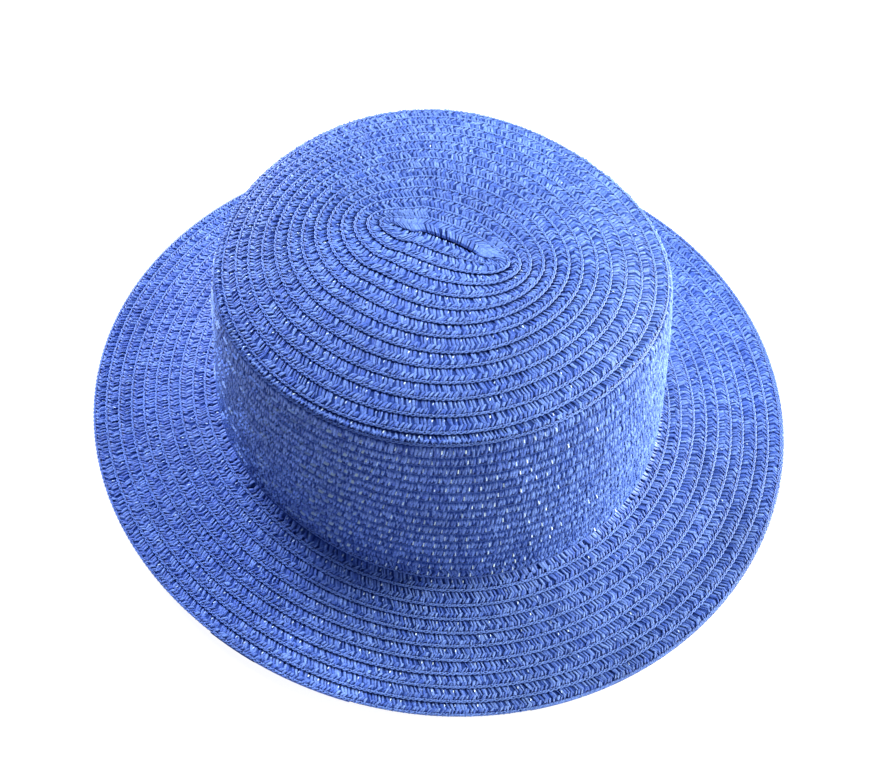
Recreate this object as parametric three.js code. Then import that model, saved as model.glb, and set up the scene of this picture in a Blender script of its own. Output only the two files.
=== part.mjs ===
// A flat-topped straw sun hat with a wide, gently drooping brim, sewn from one paper-straw braid.
// Millimetres, +Z up. The origin is on the surface the hat rests on, under the middle of the brim.
// +X runs along the head's long axis.
//
// The hat is a shell of even thickness. Its outer skin is described by a few level sections, from
// the centre of the tip down the side and out to the brim's edge. The shell is split where a hat
// maker splits it: tip, side and brim.

import * as THREE from 'three';

const strawThickness = 1.8;   // braid rows lapped over each other
const seamGap = 0.3;          // clearance between neighbouring pieces
const segmentsAround = 72;    // facets round the hat
const edgeWave = 2.5;         // how far the brim's edge rises and falls round the hat
const edgeHeight = strawThickness + edgeWave;

// One row for each section of the outer skin.
//   radius, height   the section's mean radius and its mean height above the resting surface
//   oval             added to the radius along X and taken off along Y
//   skew             added to the radius at 45 degrees and taken off at -45 degrees
//   corner           squareness of the outline
//   shift            how far the section's centre lies towards +X
//   dip, wave        how far the +X end drops, and how far the skin rises at 45 degrees
//   rings            how many rings of facets lie between this section and the next
const sections = table(
  ['name', 'radius', 'height', 'oval', 'skew', 'corner', 'shift', 'dip', 'wave', 'rings'],
  ['tipCentre', 0, 104.5, 0, 0, 0, 2.6, 0, 0, 2],
  ['tipInner', 30, 104.0, 1.0, 0.5, 0.3, 2.6, 0.1, -0.2, 2],
  ['tipOuter', 58, 100.8, 2.0, 1.1, 0.6, 2.6, 0.7, -1.1, 2],
  ['tipRim', 80, 94.8, 2.6, 1.5, 0.8, 2.6, 1.6, -2.4, 3],
  ['shoulder', 84.5, 90.2, 2.7, 1.4, 0.8, 2.6, 1.6, -2.4, 3],
  ['sideHigh', 87.5, 71.4, 3.2, 0.1, 0.4, 2.0, 1.2, -1.6, 2],
  ['sideMiddle', 90.2, 52.4, 3.2, -1.1, 0.2, 1.3, 0.8, -0.8, 2],
  ['sideLow', 92.3, 33.4, 3.2, -2.0, 0.3, 0.7, 0.4, -0.2, 2],
  ['foot', 93.8, 17.6, 3.1, -2.7, 0.5, 0, 0, 0, 2],
  ['brimStart', 97.0, 13.6, 3.1, -2.6, 0.5, 0, 0, 0.1, 1],
  ['brimInner', 110, 9.9, 3.3, -2.4, 0.5, 0, 0, 0.7, 2],
  ['brimOuter', 128, 6.2, 3.6, -1.9, 0.3, 0, 0, 1.7, 2],
  ['hemStart', 141.5, edgeHeight, 3.8, -1.6, 0.1, 0, 0, edgeWave, 1],
  ['hem', 144.5, edgeHeight, 3.8, -1.5, 0.1, 0, 0, edgeWave, 1],
  ['edge', 147.4, edgeHeight, 3.8, -1.5, 0.1, 0, 0, edgeWave, 0],
);

// The pieces, from the top down, and the sections each one runs between.
const pieces = [
  { name: 'crown_tip', from: 'tipCentre', to: 'tipRim' },
  { name: 'crown_side', from: 'tipRim', to: 'foot' },
  { name: 'brim', from: 'foot', to: 'edge' },
];

const straw = { color: 0x5f83d9, roughness: 0.55, metalness: 0 };

function table(columns, ...rows) {
  return rows.map((row) => Object.fromEntries(columns.map((column, place) => [column, row[place]])));
}

function rowOf(name) {
  return sections.findIndex((section) => section.name === name);
}

// A smooth curve through three of the table's columns.
function columnCurve(first, second, third) {
  const points = sections.map((row) => new THREE.Vector3(row[first], row[second], row[third] ?? 0));
  return new THREE.CatmullRomCurve3(points, false, 'centripetal');
}

const profileCurve = columnCurve('radius', 'height');
const outlineCurve = columnCurve('oval', 'skew', 'corner');
const driftCurve = columnCurve('shift', 'dip', 'wave');

// The skin at a place in the table, counted in rows and parts of a row.
function stationAt(row) {
  const t = row / (sections.length - 1);
  const at = profileCurve.getPoint(t);
  const along = profileCurve.getTangent(t);
  const outline = outlineCurve.getPoint(t);
  const drift = driftCurve.getPoint(t);
  return {
    radius: at.x, height: at.y, alongRadius: along.x, alongHeight: along.y,
    oval: outline.x, skew: outline.y, corner: outline.z, shift: drift.x, dip: drift.y, wave: drift.z,
  };
}

// A station moved a distance along the skin and a depth into the straw.
function moved(station, along, depth) {
  return {
    ...station,
    radius: Math.max(station.radius + station.alongRadius * along + station.alongHeight * depth, 0),
    height: station.height + station.alongHeight * along - station.alongRadius * depth,
  };
}

// The stations of a piece's outer skin, from its first section to its last.
function skinStations(first, last) {
  const stations = [];
  for (let row = first; row < last; row++) {
    const rings = sections[row].rings;
    for (let ring = 0; ring < rings; ring++) stations.push(stationAt(row + ring / rings));
  }
  return [...stations, stationAt(last)];
}

// The closed section of one piece: the outer skin down, then the inner skin back up.
function pieceStations({ from, to }) {
  const skin = skinStations(rowOf(from), rowOf(to));
  const opensAtAxis = skin[0].radius === 0;
  if (!opensAtAxis) skin[0] = moved(skin[0], seamGap, 0);
  const lining = skin.map((station) => moved(station, 0, strawThickness));
  const loop = [...skin, ...lining.reverse()];
  return opensAtAxis ? loop : [...loop, skin[0]];
}

// A round shell is turned from the section, then each ring is eased to its own outline.
function shellGeometry(piece) {
  const stations = pieceStations(piece);
  const profile = stations.map((station) => new THREE.Vector2(station.radius, station.height));
  const halfFacet = Math.PI / segmentsAround;
  const geometry = new THREE.LatheGeometry(profile.reverse(), segmentsAround, halfFacet);
  stations.reverse();
  geometry.rotateX(Math.PI / 2);
  const position = geometry.attributes.position;
  for (let vertex = 0; vertex < position.count; vertex++) {
    const station = stations[vertex % stations.length];
    easeToOutline(position, vertex, station);
  }
  return geometry;
}

function easeToOutline(position, vertex, station) {
  const angle = Math.atan2(position.getY(vertex), position.getX(vertex));
  const swell = station.oval * Math.cos(2 * angle) + station.skew * Math.sin(2 * angle)
    + station.corner * Math.sin(4 * angle);
  const radius = station.radius > 0 ? station.radius + swell : 0;
  const lift = station.wave * Math.sin(2 * angle) - station.dip * Math.cos(angle);
  position.setXYZ(
    vertex,
    radius * Math.cos(angle) + station.shift,
    radius * Math.sin(angle),
    station.height + (station.radius > 0 ? lift : 0),
  );
}

const hat = new THREE.Group();
for (const piece of pieces) {
  const mesh = new THREE.Mesh(shellGeometry(piece), new THREE.MeshStandardMaterial(straw));
  mesh.name = piece.name;
  hat.add(mesh);
}

export default hat;
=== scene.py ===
import math
import bpy
import numpy as np
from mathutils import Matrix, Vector


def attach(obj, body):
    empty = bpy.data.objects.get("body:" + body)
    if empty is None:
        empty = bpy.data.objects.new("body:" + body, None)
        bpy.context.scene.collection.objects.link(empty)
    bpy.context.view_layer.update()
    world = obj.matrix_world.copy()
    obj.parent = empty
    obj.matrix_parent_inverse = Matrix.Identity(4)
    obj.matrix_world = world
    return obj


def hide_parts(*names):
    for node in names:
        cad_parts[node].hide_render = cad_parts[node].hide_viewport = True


# A sewn straw sun hat. One long straw braid is coiled from the middle of the tip, down the side
# and out to the brim's edge, each turn lapping over the next one out.
# The hat's lengths are in millimetres until Part.finish turns them into metres. The floor, the
# camera and the lights have metres and degrees, but for the camera's lens and sensor in millimetres.

braid = {
    "unit": 4.18,  # the plait repeats after this length
    "strandsPerUnit": 3,
    "width": 7.6,
    "thickness": 0.45,  # of the flat band under the strands
    "bandDrop": 0.22,  # how far the band lies below the strands' middle
    "bandSpare": 1.2,  # how much wider the band is than the strands
    "covered": 2.6,  # how far the band runs on under the turn above
    "lap": 0.45,  # how far the next turn lies below this one's edge
    "strandHeight": 0.16,
    "slant": 1.3,  # how far a strand runs along the braid before it turns back
    "edgeWidth": 1.25,
    "edgeCord": 0.58,
    "seed": 7,
}

turns = {
    "start": 0.74,  # turns are counted from the start line; whole numbers are at the front
    "tipEnd": 13.0,
    "brimStart": 30.0,
    "brimEnd": 40.0,
    "tailEnd": 40.9,
    "uneven": 0.25,  # how far a sewn row strays from its place
}

stretches = (
    # the piece, the plain piece it replaces, its first turn and its last
    ("braid_tip", "crown_tip", turns["start"], turns["tipEnd"]),
    ("braid_side_upper", "crown_side", turns["tipEnd"], 21.7),
    ("braid_side_lower", "crown_side", 21.7, turns["brimStart"]),
    ("braid_brim_inner", "brim", turns["brimStart"], 35.6),
    ("braid_brim_outer", "brim", 35.6, turns["tailEnd"]),
)

# The first turn comes back over the start line between these turns, and rises and falls this fast.
fold = {"start": 1.22, "rise": 0.08, "end": 1.86, "fall": 0.1, "lift": 0.3, "tilt": 0.03}
# Between these turns the braid is pressed flatter, and most at the fold's two ironed ends.
pressing = {"start": 1.15, "rise": 0.1, "end": 1.95, "fall": 0.15, "amount": 0.25, "ironed": 0.45}
# Between these turns the rows stand close, with a groove between them that is darkened by painted
# shade.
grooves = {"start": 13.8, "rise": 0.6, "end": 30.0, "fall": 0.4}

startLine = {
    "x": 1.6,
    "halfLength": 20.5,
    # the fold wanders a little: how far back it lies at these places along it
    "places": (-19.0, -15.0, -11.0, -7.0, 0.0, 8.0, 12.0, 18.0, 22.0),
    "backs": (3.4, 2.9, 2.7, 4.3, 3.6, 2.6, 1.9, 1.1, 1.4),
    "smoothPatches": ((-14.7, 10.0, 6.2, 5.4), (21.3, 6.3, 4.0, 4.4)),  # x, y, half width, half depth
}
tip = {"height": 104.5, "dome": 9.7, "dip": 1.6, "wave": -2.4, "power": 2.5, "lean": 0.85}

# One row for each turn that sets the hat's shape, from the tip's rim to the brim's edge.
shapeColumns = ("turn", "radius", "height", "oval", "skew", "corner", "shift", "dip", "wave")
shapeRows = (
    (13.0, 80.0, 94.8, 2.6, 1.5, 0.8, 2.6, 1.6, -2.4),
    (13.5, 82.2, 94.2, 2.6, 1.5, 0.8, 2.6, 1.6, -2.4),
    (14.0, 83.8, 92.7, 2.7, 1.5, 0.8, 2.6, 1.6, -2.4),
    (14.5, 84.5, 89.9, 2.7, 1.4, 0.8, 2.6, 1.6, -2.4),
    (15.0, 85.0, 87.0, 2.8, 1.2, 0.7, 2.5, 1.5, -2.2),
    (18.2, 87.5, 71.4, 3.2, 0.1, 0.4, 2.0, 1.2, -1.6),
    (22.1, 90.2, 52.4, 3.2, -1.1, 0.2, 1.3, 0.8, -0.8),
    (26.1, 92.3, 33.4, 3.2, -2.0, 0.3, 0.7, 0.4, -0.2),
    (30.0, 93.9, 14.4, 3.1, -2.7, 0.5, 0.0, 0.0, 0.0),
    (33.0, 110.0, 9.9, 3.3, -2.4, 0.5, 0.0, 0.0, 0.7),
    (36.6, 129.0, 6.1, 3.6, -1.9, 0.3, 0.0, 0.0, 1.7),
    (40.0, 147.3, 4.3, 3.8, -1.5, 0.1, 0.0, 0.0, 2.5),
)

# Raised float strands, most painted near white as painted glints: their size on the side and elsewhere,
# and which way they gather, in radians.
glintFloats = {
    "sideStart": 14.6,  # the turn below the shoulder where the side's strands begin
    "footEnd": 31.2,
    "length": 0.9,
    "width": 0.42,
    "sideLength": 0.95,
    "sideWidth": 0.44,
    "sideRise": (0.58, 0.24, -0.14),
    "rise": (-0.05, 0.2, 0.0),
    "frontAngle": -1.38,
    "flankAngle": -1.9,
    "streakAngle": -2.4,
    # side tints and tints above 1.1 mix in the painted glint colour
    "sideTint": 1.9,
    "tint": 1.55,
}

straw = {
    "colour": "#4565C6",
    # painted shade for creases and for the band seen between strands
    "creaseShadeColour": "#22449B",
    # painted shadow under each turn's edge, in the side's grooves, behind the fold and in the edge
    # holes
    "paintedShadowColour": "#0D1858",
    "paleColour": "#7A9CEE",
    # a near-white painted glint for the raised floats
    "paintedGlintColour": "#DAF1FF",
    "roughness": 0.4,
    "specular": 0.28,
}

floorLook = {"colour": "#8A8A8A", "glow": 0.94, "size": 12.0}

camera = {
    "azimuth": 22.0,
    "elevation": 56.07,
    "distance": 0.5784,
    "target": (0.0007, -0.0029, 0.0187),
    "lens": 56.0,
    "sensor": 36.0,
}

lights = (
    # name, azimuth, elevation, distance, size, watts, colour
    ("rightBack", 125.0, 24.0, 1.5, 0.8, 64.0, "#FBF6E0"),
    ("rightSide", 95.0, 18.0, 1.5, 0.8, 15.0, "#FBF6E0"),
    ("leftBack", -123.0, 28.0, 1.5, 0.9, 54.0, "#E2EDFF"),
    ("front", 34.0, 27.0, 1.5, 0.25, 3.2, "#BAD0FF"),
)
room = {"colour": "#C8DCFF", "strength": 0.045}


def column(name, turn):
    table = np.array(shapeRows)
    return np.interp(turn, table[:, 0], table[:, shapeColumns.index(name)])


def bandPoint(turn, angle):
    # the skin from the tip's rim outwards
    radius = column("radius", turn) + column("oval", turn) * np.cos(2 * angle)
    radius = radius + column("skew", turn) * np.sin(2 * angle)
    radius = radius + column("corner", turn) * np.sin(4 * angle)
    lift = column("wave", turn) * np.sin(2 * angle) - column("dip", turn) * np.cos(angle)
    x = radius * np.cos(angle) + column("shift", turn)
    y = radius * np.sin(angle)
    return np.stack([x, y, column("height", turn) + lift], -1)


def tipPoint(turn, angle):
    # the skin between the start line and the tip's rim
    leaning = tip["lean"] * np.sin(math.pi * turn / turns["tipEnd"])
    share = (turn - leaning * np.maximum(np.cos(angle), 0) ** 2) / turns["tipEnd"]
    share = np.clip(share, 0, 1)
    rim = bandPoint(np.full_like(share, turns["tipEnd"]), angle)
    x = startLine["x"] + startLine["halfLength"] * np.cos(angle)
    back = np.interp(x, startLine["places"], startLine["backs"])
    flat = np.stack([x, back, x * 0], -1)
    point = flat * (1 - share)[..., None] + rim * share[..., None]
    lift = tip["wave"] * np.sin(2 * angle) - tip["dip"] * np.cos(angle)
    point[..., 2] = tip["height"] - tip["dome"] * share ** tip["power"] + lift * share ** 2
    return point


def skin(turn, angle):
    turn = np.maximum(turn, 0)
    onTip = (turn < turns["tipEnd"])[..., None]
    return np.where(onTip, tipPoint(turn, angle), bandPoint(turn, angle))


def unit(vectors):
    return vectors / np.maximum(np.linalg.norm(vectors, axis=-1, keepdims=True), 1e-9)


def skinFrame(turn, angle):
    # the skin's outward normal, and its length in mm for a turn outwards and for a radian round
    outStep, roundStep = 0.12, 0.01
    out = (skin(turn + outStep, angle) - skin(turn - outStep, angle)) / (2 * outStep)
    around = (skin(turn, angle + roundStep) - skin(turn, angle - roundStep)) / (2 * roundStep)
    normal = unit(np.cross(out, around))
    return normal, np.linalg.norm(out, axis=-1), np.linalg.norm(around, axis=-1)


def edgeTurn(count):
    # where the braid's outer edge lies, in turns, after it has gone round count times
    late = np.clip((count - turns["tipEnd"]) / 15, 0, 1) * 0.9
    place = count - late / (2 * math.pi) * np.sin(2 * math.pi * count)
    wander = np.sin(count * 9.7) + np.sin(count * 23.1 + 1) * 0.7 + np.sin(count * 41.3 + 2) * 0.5
    room = np.clip((turns["brimEnd"] - count) / 2, 0, 1) * np.clip(count - 2, 0, 1)
    place = place + wander * room * turns["uneven"] / 12
    return np.minimum(place, turns["brimEnd"])


def during(count, start, rise, end, fall):
    # nothing before the start and after the end, and one between them
    return np.clip((count - start) / rise, 0, 1) * np.clip((end - count) / fall, 0, 1)


def nearTurn(count, centre, spread):
    return np.exp(-((count - centre) / spread) ** 4)


def angleAt(count):
    return -math.pi / 2 - 2 * math.pi * count


def startRaise(count):
    # the first turn comes back over the start line, lying on the strip in front of it
    return during(count, fold["start"], fold["rise"], fold["end"], fold["fall"])


def onBraid(count, inward, along, lift):
    # a point of the braid: inward from its outer edge, along it, and up from the skin, in mm
    angle, edge = angleAt(count), edgeTurn(count)
    _, outGauge, roundGauge = skinFrame(edge - 0.5, angle)
    roundGauge = np.maximum(roundGauge, 4.0)
    place = edge - inward / np.maximum(outGauge, 2.5)
    turned = angle + along / roundGauge
    here, _, _ = skinFrame(np.maximum(place, 0.05), turned)
    rise = lift + startRaise(count) * (fold["lift"] + fold["tilt"] * inward)
    return skin(place, turned) + here * rise[..., None]


def rowWidth(count):
    # how much of the braid shows, in mm, before the turn above covers it
    angle, edge = angleAt(count), edgeTurn(count)
    _, outGauge, _ = skinFrame(edge - 0.5, angle)
    shown = outGauge * (edge - edgeTurn(count - 1))
    return np.clip(np.where(count < 1.95, braid["width"], shown), 0.5, braid["width"])


# grids of points gathered into one mesh
class Part:
    def __init__(self):
        self.points, self.faces, self.tints, self.depths, self.uvs = [], [], [], [], []
        self.total = 0

    def add(self, grid, closedColumns, tint, depth, u, v):
        # the grid is strips by rows by columns by 3
        strips, rows, columns = grid.shape[:3]
        index = np.arange(strips * rows * columns).reshape(strips, rows, columns) + self.total
        right = np.roll(index, -1, axis=2) if closedColumns else index[:, :, 1:]
        left = index if closedColumns else index[:, :, :-1]
        quads = np.stack([left[:, :-1], right[:, :-1], right[:, 1:], left[:, 1:]], -1)
        self.faces.append(quads.reshape(-1, 4))
        self.points.append(grid.reshape(-1, 3))
        for kept, values in ((self.tints, tint), (self.depths, depth)):
            kept.append(np.broadcast_to(values, grid.shape[:3]).reshape(-1))
        uv = np.stack([np.broadcast_to(u, grid.shape[:3]), np.broadcast_to(v, grid.shape[:3])], -1)
        self.uvs.append(uv.reshape(-1, 2))
        self.total += strips * rows * columns

    def finish(self, name, material, node):
        points = np.concatenate(self.points) / 1000
        points[:, 2] = np.maximum(points[:, 2], 0.00002)
        faces = np.concatenate(self.faces)
        mesh = bpy.data.meshes.new(name)
        mesh.vertices.add(len(points))
        mesh.vertices.foreach_set("co", points.astype(np.float32).ravel())
        mesh.loops.add(faces.size)
        mesh.loops.foreach_set("vertex_index", faces.astype(np.int32).ravel())
        mesh.polygons.add(len(faces))
        mesh.polygons.foreach_set("loop_start", np.arange(0, faces.size, 4, dtype=np.int32))
        mesh.polygons.foreach_set("use_smooth", np.ones(len(faces), dtype=bool))
        mesh.update(calc_edges=True)
        for label, values in (("tint", self.tints), ("depth", self.depths)):
            attribute = mesh.attributes.new(label, "FLOAT", "POINT")
            attribute.data.foreach_set("value", np.concatenate(values).astype(np.float32))
        layer = mesh.uv_layers.new(name="braid")
        uv = np.concatenate(self.uvs)[faces.ravel()]
        layer.data.foreach_set("uv", uv.astype(np.float32).ravel())
        mesh.validate()
        piece = bpy.data.objects.new(name, mesh)
        bpy.context.scene.collection.objects.link(piece)
        mesh.materials.append(material)
        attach(piece, "root")
        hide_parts(node)
        print(name, "triangles", len(faces) * 2)
        return piece


def lengthTable():
    counts = np.linspace(turns["start"], turns["tailEnd"], 24000)
    edge = onBraid(counts, np.full_like(counts, 2.0), counts * 0, counts * 0)
    steps = np.linalg.norm(np.diff(edge, axis=0), axis=1)
    return counts, np.concatenate([[0], np.cumsum(steps)])


def rest(inward, shown):
    # how far the braid's top lies below the skin, as it dips under the turn above
    share = np.clip(inward / shown, 0, 1.4)
    narrow = np.clip((6.2 - shown) / 1.2, 0, 1) * np.clip((shown - 2.5) / 1.5, 0, 1)
    arch = 0.4 * narrow * (2 * share - 0.9) ** 2
    return -braid["lap"] * share ** 1.7 - arch


def pressed(count):
    # how flat the braid is pressed; the first turns in the middle are the flattest
    folded = during(count, pressing["start"], pressing["rise"], pressing["end"], pressing["fall"])
    return 1 - pressing["amount"] * folded - pressing["ironed"] * smoothed(count)


def smoothed(count):
    # the two ends of the first fold are ironed smooth
    spot = onBraid(count, np.full_like(count, 3.4), count * 0, count * 0)
    amount = count * 0
    for x, y, halfWidth, halfDepth in startLine["smoothPatches"]:
        away = ((spot[..., 0] - x) / halfWidth) ** 2 + ((spot[..., 1] - y) / halfDepth) ** 2
        amount = amount + np.exp(-away ** 2)
    return np.clip(amount, 0, 1)


def addBand(part, counts, distances):
    # the flat band that carries the strands, closed all round
    shown = rowWidth(counts)[:, None]
    spare = braid["bandSpare"]
    full = np.minimum(shown + braid["covered"], braid["width"] + spare)
    full = full - spare * startRaise(counts)[:, None]
    atFoot = nearTurn(counts, 30.8, 0.95)[:, None]
    across = np.array([0.03, 0.25, 0.5, 1.0, 1.0, 0.5, 0.25, 0.03])[None, :] * full
    under = np.array([0, 0, 0, 0, 1, 1, 1, 1])[None, :]
    inset = np.array([0.25, 0, 0, 0.1, 0, 0, 0, 0.05])[None, :]
    lift = rest(across, shown) - braid["bandDrop"] - inset - under * braid["thickness"]
    lift = lift - 0.7 * atFoot * np.clip(across / 2, 0, 1)
    count = np.broadcast_to(counts[:, None], across.shape)
    grid = onBraid(count, across, across * 0, lift)
    # the underside is marked by a tint below nothing, which the material turns into plaiting; the top's
    # values below nothing paint shade on the band where it shows between strands
    tint = np.array([0.5, 0.5, 0.5, 0.5, -1.0, -1.0, -1.0, 0.5])[None, None, :]
    depth = np.array([-0.2, -0.2, -0.2, -0.2, 0.55, 0.55, 0.55, -0.2])[None, None, :]
    part.add(grid[None], True, tint, depth, distances[:, None], across)


def addStrands(part, counts, distances, random):
    # two slanting sets of strands that meet in a row of points along the braid's middle
    number = len(counts)
    shown = rowWidth(counts)[:, None, None]
    middle = 0.5 * shown
    atFoot = nearTurn(counts, 30.5, 0.45)[:, None, None]
    inner = np.minimum(shown + 0.8 + 1.8 * atFoot, braid["width"] + 0.3 + 0.6 * atFoot)
    pitch = braid["unit"] / braid["strandsPerUnit"]
    flat = 1 - pressed(counts)[:, None, None]
    upright = grooved(counts)[:, None, None]
    ironed = smoothed(counts)[:, None, None]
    onFold = startRaise(counts)[:, None, None] * (1 - ironed)
    sides = np.array([-0.5, 0.0, 0.5])[None, None, :]
    height = braid["strandHeight"] * pressed(counts)[:, None, None] * (1 + 0.8 * upright)
    order = np.arange(number)[:, None, None]
    sets = (
        # from, to, the shares along it, the lift at each, the set's offset
        (braid["edgeWidth"] - 0.3 - 0.55 * upright, middle + 0.55 + 0.28 * shown * upright,
         (0.0, 0.3, 0.7, 1.0), (-0.6, 0.2, 0.5, -0.7), 0.0),
        (inner, middle - 0.35, (0.0, 0.15, 0.3, 0.7, 1.0), (-0.3, 0.0, 0.2, 0.4, -0.8), 0.5),
    )
    for start, end, shares, lifts, offset in sets:
        jitter = random.standard_normal((5, number, 1, 1))
        share = np.array(shares)[None, :, None]
        inward = start + (end - start) * share
        slant = braid["slant"] * (1 + 0.35 * jitter[0] * (1 - flat))
        slant = slant * (1 - 0.55 * upright + 0.7 * onFold)
        along = slant * share + (offset + 0.18 * jitter[1] * (1 - flat)) * pitch
        along = along + sides * pitch * (0.76 + 0.13 * jitter[2] + 0.6 * flat - 0.12 * onFold)
        over = np.sin(2 * math.pi * (share * 0.6 + (order + 1.5 * offset) / braid["strandsPerUnit"]))
        shape = np.array([-1.0, 0.5, -0.8])[None, None, :] + np.array(lifts)[None, :, None]
        lift = rest(inward, shown) + height * (shape + 0.4 * over + 0.4 * jitter[3])
        lift = lift + (0.05 - 0.2 * offset) * upright
        count = np.broadcast_to(counts[:, None, None], lift.shape)
        inwards = np.broadcast_to(inward, lift.shape)
        grid = onBraid(count, inwards, np.broadcast_to(along, lift.shape), lift)
        spread = 0.33 * jitter[4] * (1 - 1.5 * flat) + 0.15 * over
        # paler on the side's rows as a painted highlight on their bumps, and paler where ironed; the
        # jitter is random tone
        tint = np.clip(0.42 + spread + 0.27 * upright + 0.08 * flat + 0.22 * ironed, 0, 1)
        low = np.array(lifts)[None, :, None] < -0.5
        # the strands' sides, and ends that dip under, get less shade depth, which paints shade in the
        # creases; pressed and ironed strands lose some of it
        depth = np.array([0.35, 1.0, 0.45])[None, None, :] * np.where(low, 0.5, 1.0)
        ragged = 0.83 + 0.05 * jitter[2]
        # on the side, inner strand ends down in the groove are painted dark as groove shade
        grooveShade = upright * np.clip((inward - ragged * shown) / (0.1 * shown), 0, 1)
        pressedDepth = np.clip(0.4 * flat + 0.6 * ironed, 0, 1) * (share < 0.9)
        depth = np.maximum(depth, pressedDepth) - 0.95 * grooveShade
        # a painted shadow line where the inner strands end under the turn above, weaker on the brim
        if offset:
            onBrim = np.clip(counts - 31, 0, 1)[:, None, None]
            depth = depth - (1.6 - 0.7 * onBrim) * (share < 0.2) * (1 - flat)
        part.add(grid, False, tint, depth, distances[:, None, None] + along, inwards)


def grooved(count):
    # the rows of the side stand closer, with a groove between them darkened by painted shade
    return during(count, grooves["start"], grooves["rise"], grooves["end"], grooves["fall"])


def addEdgeCords(part, counts, distances, random):
    # two cords along the outer edge that cross every half unit, with small holes between them
    half = braid["unit"] / 2
    steps = 3
    fine = np.arange(distances[0], distances[-1], half / steps)
    count = np.interp(fine, distances, counts)[:, None]
    sides = np.array([-0.5, 0.0, 0.5])[None, :]
    phase = math.pi * fine[:, None] / half
    wobble = 1 + 0.15 * np.sin(fine[:, None] * 0.9) + 0.1 * random.standard_normal((len(fine), 1))
    for sign in (-1, 1):
        centre = 0.65 + sign * 0.42 * np.cos(phase) * wobble
        crossing = sign * np.sin(phase) * 0.1
        inward = centre + sides * braid["edgeCord"]
        rolled = 0.12 * np.clip((1.15 - inward) / 1.2, 0, 1.2) ** 1.6
        lift = np.array([-0.12, 0.1, -0.12])[None, :] + crossing - rolled - 0.15 * grooved(count)
        grid = onBraid(np.broadcast_to(count, inward.shape), inward, inward * 0, lift)
        # the cords' sides are darker, and on the side the cords are darkened further, as painted shade
        grooveShadeOnCords = np.array([0.9, 0.7, 0.3])[None, :] * grooved(count)
        depth = np.array([0.6, 1.0, 0.5])[None, :] - grooveShadeOnCords
        # the cords are paler than the body, a painted highlight on the raised edge, and less pale in
        # the side's grooves as painted shade
        tint = 0.66 - 0.1 * grooved(count) + 0.1 * np.sin(fine[:, None] * 1.3 + sign)
        part.add(grid[None], False, tint, depth, fine[:, None], inward)


def gathered(counts, angle, steepness, cutoff):
    # one where the hat faces this angle, fading to nothing further round
    return np.clip(np.cos(angleAt(counts) - angle) * steepness - cutoff, 0, 1)


def addFloats(part, counts, distances, random):
    # raised strands that lie on top of their neighbours, one in a unit where they are thickest; most
    # carry a near-white painted glint
    # the painted glints gather most on the side's front, where the front lamp would catch them
    facing = gathered(counts, glintFloats["frontAngle"], 4.0, 2.9)
    onSide = (counts > glintFloats["sideStart"]) & (counts < glintFloats["footEnd"])
    sideways = gathered(counts, glintFloats["flankAngle"], 2.2, 0.6)
    # on one flank they lie along the rows, longer and duller, and show as streaks
    streaky = gathered(counts, glintFloats["streakAngle"], 3.0, 1.8)
    chance = np.where(onSide, 0.02 + 0.75 * facing + 0.3 * streaky, 0.03 + 0.45 * sideways)
    kept = random.random(len(counts)) < chance
    counts, distances = counts[kept], distances[kept]
    streaky = streaky[kept][:, None, None]
    number = len(counts)
    shown = rowWidth(counts)[:, None, None]
    jitter = random.standard_normal((3, number, 1, 1))
    onWall = ((counts > glintFloats["sideStart"]) & (counts < turns["brimStart"]))[:, None, None]
    length = np.where(onWall, glintFloats["sideLength"] - 0.6 * streaky, glintFloats["length"])
    middle = np.where(onWall, 0.62 - 0.3 * streaky, 0.8) * shown + 0.1 * jitter[0]
    step = np.array([-0.5, 0.0, 0.5])
    inward = middle + length * step[None, :, None]
    wide = np.where(onWall, glintFloats["sideWidth"] + 3.2 * streaky, glintFloats["width"])
    along = 0.15 * step[None, :, None] + 0.12 * jitter[1] + step[None, None, :] * wide
    twist = np.array([-0.5, 0.0, 0.5])[None, None, :] * (0.12 * random.standard_normal((number, 1, 1)))
    rise = np.where(onWall, np.array(glintFloats["sideRise"])[None, :, None],
                    np.array(glintFloats["rise"])[None, :, None])
    rise = rise + twist - 0.06 * np.abs(step[None, None, :]) * 2
    lift = rest(inward, shown) + (rise + 0.3) * pressed(counts)[:, None, None]
    count = np.broadcast_to(counts[:, None, None], lift.shape)
    inwards = np.broadcast_to(inward, lift.shape)
    grid = onBraid(count, inwards, np.broadcast_to(along, lift.shape), lift)
    # tints above 1.1 paint a glint; the streaks' lower tint leaves them plain pale
    tint = np.where(onWall, glintFloats["sideTint"] - 0.9 * streaky, glintFloats["tint"])
    tint = tint + 0.3 * np.clip(jitter[2], -1, 1)
    part.add(grid, False, tint, 1.0, distances[:, None, None] + along, inwards)


def addFoldBacking(part):
    # the braid's own layers behind the first fold, so nothing shows through it, painted dark as shade
    x = np.linspace(-17.5, 21.0, 16)[:, None]
    back = np.interp(x, startLine["places"], startLine["backs"])
    offset = np.array([-4.5, 0.0, 4.5])[None, :]
    z = np.full((16, 3), tip["height"] - 1.7)
    y = back + offset * np.sqrt(np.clip(1 - ((x - 1.75) / 20.0) ** 2, 0.02, 1))
    grid = np.stack([np.broadcast_to(x, z.shape), y, z], -1)
    part.add(grid[None], False, 0.5, -0.6, x + 40, offset + 6)


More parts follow.
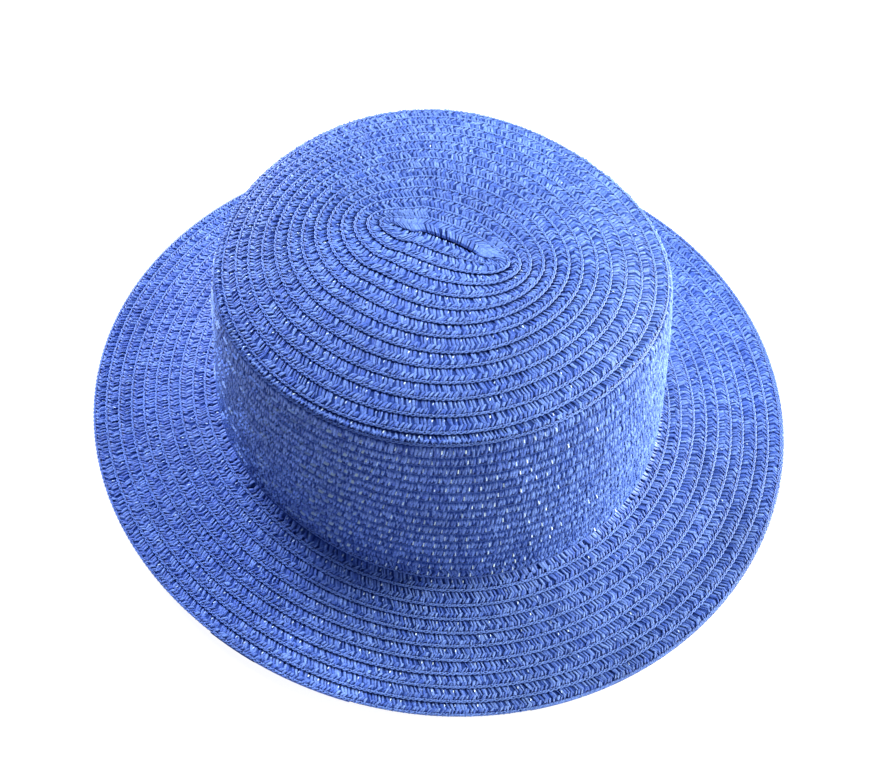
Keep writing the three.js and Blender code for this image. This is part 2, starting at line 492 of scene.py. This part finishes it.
def addTail(part):
    # the braid's end, tucked under the brim's edge at the front and just peeping out
    counts = np.linspace(turns["brimEnd"] + 0.976, turns["brimEnd"] + 1.045, 48)
    edgeRadius = 147
    distances = (counts - counts[0]) * 2 * math.pi * edgeRadius
    fade = np.linspace(0, 1, 48)
    out = 1.1 * (1 - fade ** 2)
    sides = np.array([0.0, 0.5, 1.1, 3.0])[None, :]
    inward = sides - out[:, None]
    lift = np.array([-2.1, -1.55, -1.5, -1.6])[None, :] + 0.12 * np.sin(distances * 3.0)[:, None]
    count = np.broadcast_to(counts[:, None], inward.shape)
    grid = onBraid(count, inward, inward * 0, lift)
    # the tail's sides are darkened as painted shade
    depth = np.array([0.4, 1.0, 0.8, 0.3])[None, :]
    part.add(grid[None], False, 0.35, depth, distances[:, None], sides)


def makeBraid(name, node, first, last, material, table):
    # one stretch of the braid, from its first turn to its last
    random = np.random.default_rng(braid["seed"] + int(first * 10))
    allCounts, allDistances = table
    begin = np.interp(first, allCounts, allDistances)
    end = np.interp(last, allCounts, allDistances)
    part = Part()
    onTip = first < turns["tipEnd"]
    bandStep = braid["unit"] / 2 if onTip else braid["unit"]  # the tip's first turns bend sharply
    bandDistances = np.arange(begin, end + bandStep, bandStep)
    bandCounts = np.interp(bandDistances, allDistances, allCounts)
    addBand(part, bandCounts, bandDistances)
    strandDistances = np.arange(begin, end, braid["unit"] / braid["strandsPerUnit"])
    strandCounts = np.interp(strandDistances, allDistances, allCounts)
    addStrands(part, strandCounts, strandDistances, random)
    addEdgeCords(part, bandCounts, bandDistances, random)
    floatDistances = np.arange(begin, end, braid["unit"])
    floatCounts = np.interp(floatDistances, allDistances, allCounts)
    addFloats(part, floatCounts, floatDistances, random)
    if onTip:
        addFoldBacking(part)
    if last > turns["brimEnd"]:
        addTail(part)
    return part.finish(name, material, node)


def linear(code, alpha=1.0):
    values = [int(code[place:place + 2], 16) / 255 for place in (1, 3, 5)]
    values = [v / 12.92 if v <= 0.04045 else ((v + 0.055) / 1.055) ** 2.4 for v in values]
    return (*values, alpha)


def addNode(tree, kind, settings=None, **inputs):
    node = tree.nodes.new(kind)
    for name, value in (settings or {}).items():
        setattr(node, name, value)
    for name, value in inputs.items():
        socket = node.inputs[int(name[1:]) if name[1:].isdigit() else name.replace("_", " ")]
        if isinstance(value, bpy.types.NodeSocket):
            tree.links.new(value, socket)
        else:
            socket.default_value = value
    return node


# Real thing: flattened paper straw, dyed blue right through, plaited wet by machine and pressed.
# Pressing leaves each strand a faint sheen along its top, and the dye takes unevenly from strand to
# strand. Colour darkens into creases, gaps and the side's grooves as painted shade, with a painted
# shadow line under each turn's edge and dark dots of shade for the edge holes. A few strands that
# ride over their neighbours are painted near white as painted glints. The tint says how pale a strand
# is and, above 1.1, how much painted glint it takes; the shade depth how far it stands out of the
# creases, which sets the painted shade.
def strawMaterial():
    material = bpy.data.materials.new("dyed straw braid")
    material.use_nodes = True
    tree = material.node_tree
    surface = tree.nodes["Principled BSDF"]
    place = addNode(tree, "ShaderNodeTexCoord")
    tint = addNode(tree, "ShaderNodeAttribute", {"attribute_name": "tint"})
    depth = addNode(tree, "ShaderNodeAttribute", {"attribute_name": "depth"})
    cloudy = addNode(tree, "ShaderNodeTexNoise", Vector=place.outputs["Object"], Scale=55.0, Detail=4.0)
    fine = addNode(tree, "ShaderNodeTexNoise", Vector=place.outputs["Object"], Scale=1500.0, Detail=2.0)
    share = addNode(tree, "ShaderNodeMapRange", Value=tint.outputs["Fac"], i1=0.0, i2=1.0)
    shade = addNode(tree, "ShaderNodeMix", {"data_type": "RGBA"}, i0=share.outputs[0],
                    i6=linear(straw["colour"]), i7=linear(straw["paleColour"]))
    # how much painted glint and gloss a strand takes
    paintedGlintAndGloss = addNode(tree, "ShaderNodeMapRange", Value=tint.outputs["Fac"], i1=1.1, i2=2.0)
    patchy = addNode(tree, "ShaderNodeMapRange", Value=cloudy.outputs["Fac"],
                     i1=0.3, i2=0.7, i3=0.84, i4=1.12)
    speck = addNode(tree, "ShaderNodeMapRange", Value=fine.outputs["Fac"],
                    i1=0.3, i2=0.7, i3=0.68, i4=1.26)
    both = addNode(tree, "ShaderNodeMath", {"operation": "MULTIPLY"},
                   i0=patchy.outputs[0], i1=speck.outputs[0])
    varied = addNode(tree, "ShaderNodeVectorMath", {"operation": "SCALE"},
                     i0=shade.outputs[2], i3=both.outputs[0])
    # X runs along the braid and Y inward from its outer edge, both in mm
    spread = addNode(tree, "ShaderNodeUVMap", {"uv_map": "braid"})
    apart = addNode(tree, "ShaderNodeSeparateXYZ", Vector=spread.outputs["UV"])
    # the plaiting on the underside: strands that turn back along the braid's middle, with painted shade
    # between them
    inside = addNode(tree, "ShaderNodeMapRange", Value=tint.outputs["Fac"],
                     i1=-0.9, i2=-0.2, i3=1.0, i4=0.0)
    bent = addNode(tree, "ShaderNodeMath", {"operation": "SUBTRACT"},
                   i0=apart.outputs["Y"], i1=braid["width"] * 0.66)
    bent = addNode(tree, "ShaderNodeMath", {"operation": "ABSOLUTE"}, i0=bent.outputs[0])
    bent = addNode(tree, "ShaderNodeMath", {"operation": "MULTIPLY_ADD"},
                   i0=bent.outputs[0], i1=0.55, i2=apart.outputs["X"])
    bent = addNode(tree, "ShaderNodeMath", {"operation": "PINGPONG"},
                   i0=bent.outputs[0], i1=braid["unit"] / braid["strandsPerUnit"] / 2)
    between = addNode(tree, "ShaderNodeMapRange", Value=bent.outputs[0],
                      i1=0.04, i2=0.3, i3=1.0, i4=0.0)
    between = addNode(tree, "ShaderNodeMath", {"operation": "MULTIPLY"},
                      i0=between.outputs[0], i1=inside.outputs[0])
    # low shade depth mixes in the painted crease shade colour, and dulls the surface
    crease = addNode(tree, "ShaderNodeMapRange", Value=depth.outputs["Fac"],
                     i1=0.0, i2=0.8, i3=0.0, i4=1.0)
    creased = addNode(tree, "ShaderNodeMix", {"data_type": "RGBA"}, i0=crease.outputs[0],
                      i6=linear(straw["creaseShadeColour"]), i7=varied.outputs[0])
    # painted shade in the lines between the underside's strands
    parted = addNode(tree, "ShaderNodeMath", {"operation": "MULTIPLY"}, i0=between.outputs[0], i1=0.8)
    creased = addNode(tree, "ShaderNodeMix", {"data_type": "RGBA"}, i0=parted.outputs[0],
                      i6=creased.outputs[2], i7=linear(straw["creaseShadeColour"]))
    # shade depths below nothing mix in the painted shadow colour
    tuckShadow = addNode(tree, "ShaderNodeMapRange", Value=depth.outputs["Fac"],
                     i1=-0.8, i2=0.0, i3=0.6, i4=0.0)
    creased = addNode(tree, "ShaderNodeMix", {"data_type": "RGBA"}, i0=tuckShadow.outputs[0],
                      i6=creased.outputs[2], i7=linear(straw["paintedShadowColour"]))
    # the small holes inside the edge cords, painted as dark dots of shade
    alongHole = addNode(tree, "ShaderNodeMath", {"operation": "PINGPONG"},
                        i0=apart.outputs["X"], i1=braid["unit"] / 4)
    alongHole = addNode(tree, "ShaderNodeMath", {"operation": "DIVIDE"},
                        i0=alongHole.outputs[0], i1=0.42)
    acrossHole = addNode(tree, "ShaderNodeMapRange", {"clamp": False}, Value=apart.outputs["Y"],
                         i1=1.35, i2=1.7, i3=0.0, i4=1.0)
    toHole = addNode(tree, "ShaderNodeCombineXYZ", X=alongHole.outputs[0], Y=acrossHole.outputs[0])
    toHole = addNode(tree, "ShaderNodeVectorMath", {"operation": "LENGTH"}, i0=toHole.outputs[0])
    hole = addNode(tree, "ShaderNodeMapRange", Value=toHole.outputs["Value"],
                   i1=0.7, i2=1.2, i3=0.9, i4=0.0)
    holed = addNode(tree, "ShaderNodeMix", {"data_type": "RGBA"}, i0=hole.outputs[0],
                    i6=creased.outputs[2], i7=linear(straw["paintedShadowColour"]))
    # the raised floats take the painted glint colour here, and a lower roughness below
    colour = addNode(tree, "ShaderNodeMix", {"data_type": "RGBA"}, i0=paintedGlintAndGloss.outputs[0],
                     i6=holed.outputs[2], i7=linear(straw["paintedGlintColour"]))
    uneven = addNode(tree, "ShaderNodeMapRange", Value=fine.outputs["Fac"],
                     i1=0.3, i2=0.7, i3=straw["roughness"] - 0.1, i4=straw["roughness"] + 0.12)
    dull = addNode(tree, "ShaderNodeMix", {"data_type": "FLOAT"}, i0=crease.outputs[0],
                   i2=0.85, i3=uneven.outputs[0])
    rough = addNode(tree, "ShaderNodeMix", {"data_type": "FLOAT"}, i0=paintedGlintAndGloss.outputs[0],
                    i2=dull.outputs[0], i3=0.2)
    height = addNode(tree, "ShaderNodeMath", {"operation": "MULTIPLY_ADD"},
                     i0=between.outputs[0], i1=-2.0, i2=fine.outputs["Fac"])
    bump = addNode(tree, "ShaderNodeBump", Height=height.outputs[0],
                   Strength=0.35, Distance=0.0002)
    tree.links.new(colour.outputs[2], surface.inputs["Base Color"])
    tree.links.new(rough.outputs[0], surface.inputs["Roughness"])
    surface.inputs["Specular IOR Level"].default_value = straw["specular"]
    tree.links.new(bump.outputs[0], surface.inputs["Normal"])
    return material


def floorMaterial():
    material = bpy.data.materials.new("matt white board")
    material.use_nodes = True
    tree = material.node_tree
    surface = tree.nodes["Principled BSDF"]
    surface.inputs["Base Color"].default_value = linear(floorLook["colour"])
    surface.inputs["Roughness"].default_value = 0.9
    surface.inputs["Specular IOR Level"].default_value = 0.0
    surface.inputs["Emission Color"].default_value = (1, 1, 1, 1)
    surface.inputs["Emission Strength"].default_value = floorLook["glow"]
    return material


def direction(azimuth, elevation):
    a, e = math.radians(azimuth), math.radians(elevation)
    return Vector((math.sin(a) * math.cos(e), -math.cos(a) * math.cos(e), math.sin(e)))


def aim(thing, target):
    thing.rotation_euler = (Vector(target) - thing.location).to_track_quat("-Z", "Y").to_euler()


def makeLights():
    for name, azimuth, elevation, distance, size, watts, colour in lights:
        data = bpy.data.lights.new(name, "AREA")
        data.shape = "DISK"
        data.size = size
        data.energy = watts
        data.color = linear(colour)[:3]
        light = bpy.data.objects.new(name, data)
        bpy.context.scene.collection.objects.link(light)
        light.location = direction(azimuth, elevation) * distance
        aim(light, (0, 0, 0.05))
    world = bpy.data.worlds.new("soft pale room")
    bpy.context.scene.world = world
    world.use_nodes = True
    world.node_tree.nodes["Background"].inputs["Color"].default_value = linear(room["colour"])
    world.node_tree.nodes["Background"].inputs["Strength"].default_value = room["strength"]


def makeCamera():
    data = bpy.data.cameras.new("camera")
    data.lens = camera["lens"]
    data.sensor_width = camera["sensor"]
    data.clip_start = 0.01
    view = bpy.data.objects.new("camera", data)
    bpy.context.scene.collection.objects.link(view)
    back = direction(camera["azimuth"], camera["elevation"])
    view.location = Vector(camera["target"]) + back * camera["distance"]
    aim(view, camera["target"])
    bpy.context.scene.camera = view


def makeFloor():
    half = floorLook["size"] / 2
    mesh = bpy.data.meshes.new("floor")
    corners = [(-half, -half, 0), (half, -half, 0), (half, half, 0), (-half, half, 0)]
    mesh.from_pydata(corners, [], [(0, 1, 2, 3)])
    mesh.materials.append(floorMaterial())
    floor = bpy.data.objects.new("floor", mesh)
    bpy.context.scene.collection.objects.link(floor)


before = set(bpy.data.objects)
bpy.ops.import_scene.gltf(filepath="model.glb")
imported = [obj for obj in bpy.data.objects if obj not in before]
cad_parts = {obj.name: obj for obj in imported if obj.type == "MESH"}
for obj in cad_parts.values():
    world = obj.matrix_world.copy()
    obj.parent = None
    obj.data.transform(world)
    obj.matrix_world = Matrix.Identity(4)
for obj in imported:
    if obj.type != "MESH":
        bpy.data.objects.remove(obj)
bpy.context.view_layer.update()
print("frame loaded")
bpy.context.scene.view_settings.view_transform = "Standard"
strawLook = strawMaterial()
lengths = lengthTable()
print("braid length in metres", round(lengths[1][-1] / 1000, 2))
for name, node, first, last in stretches:
    makeBraid(name, node, first, last, strawLook, lengths)
print("braid made")
makeFloor()
makeLights()
makeCamera()
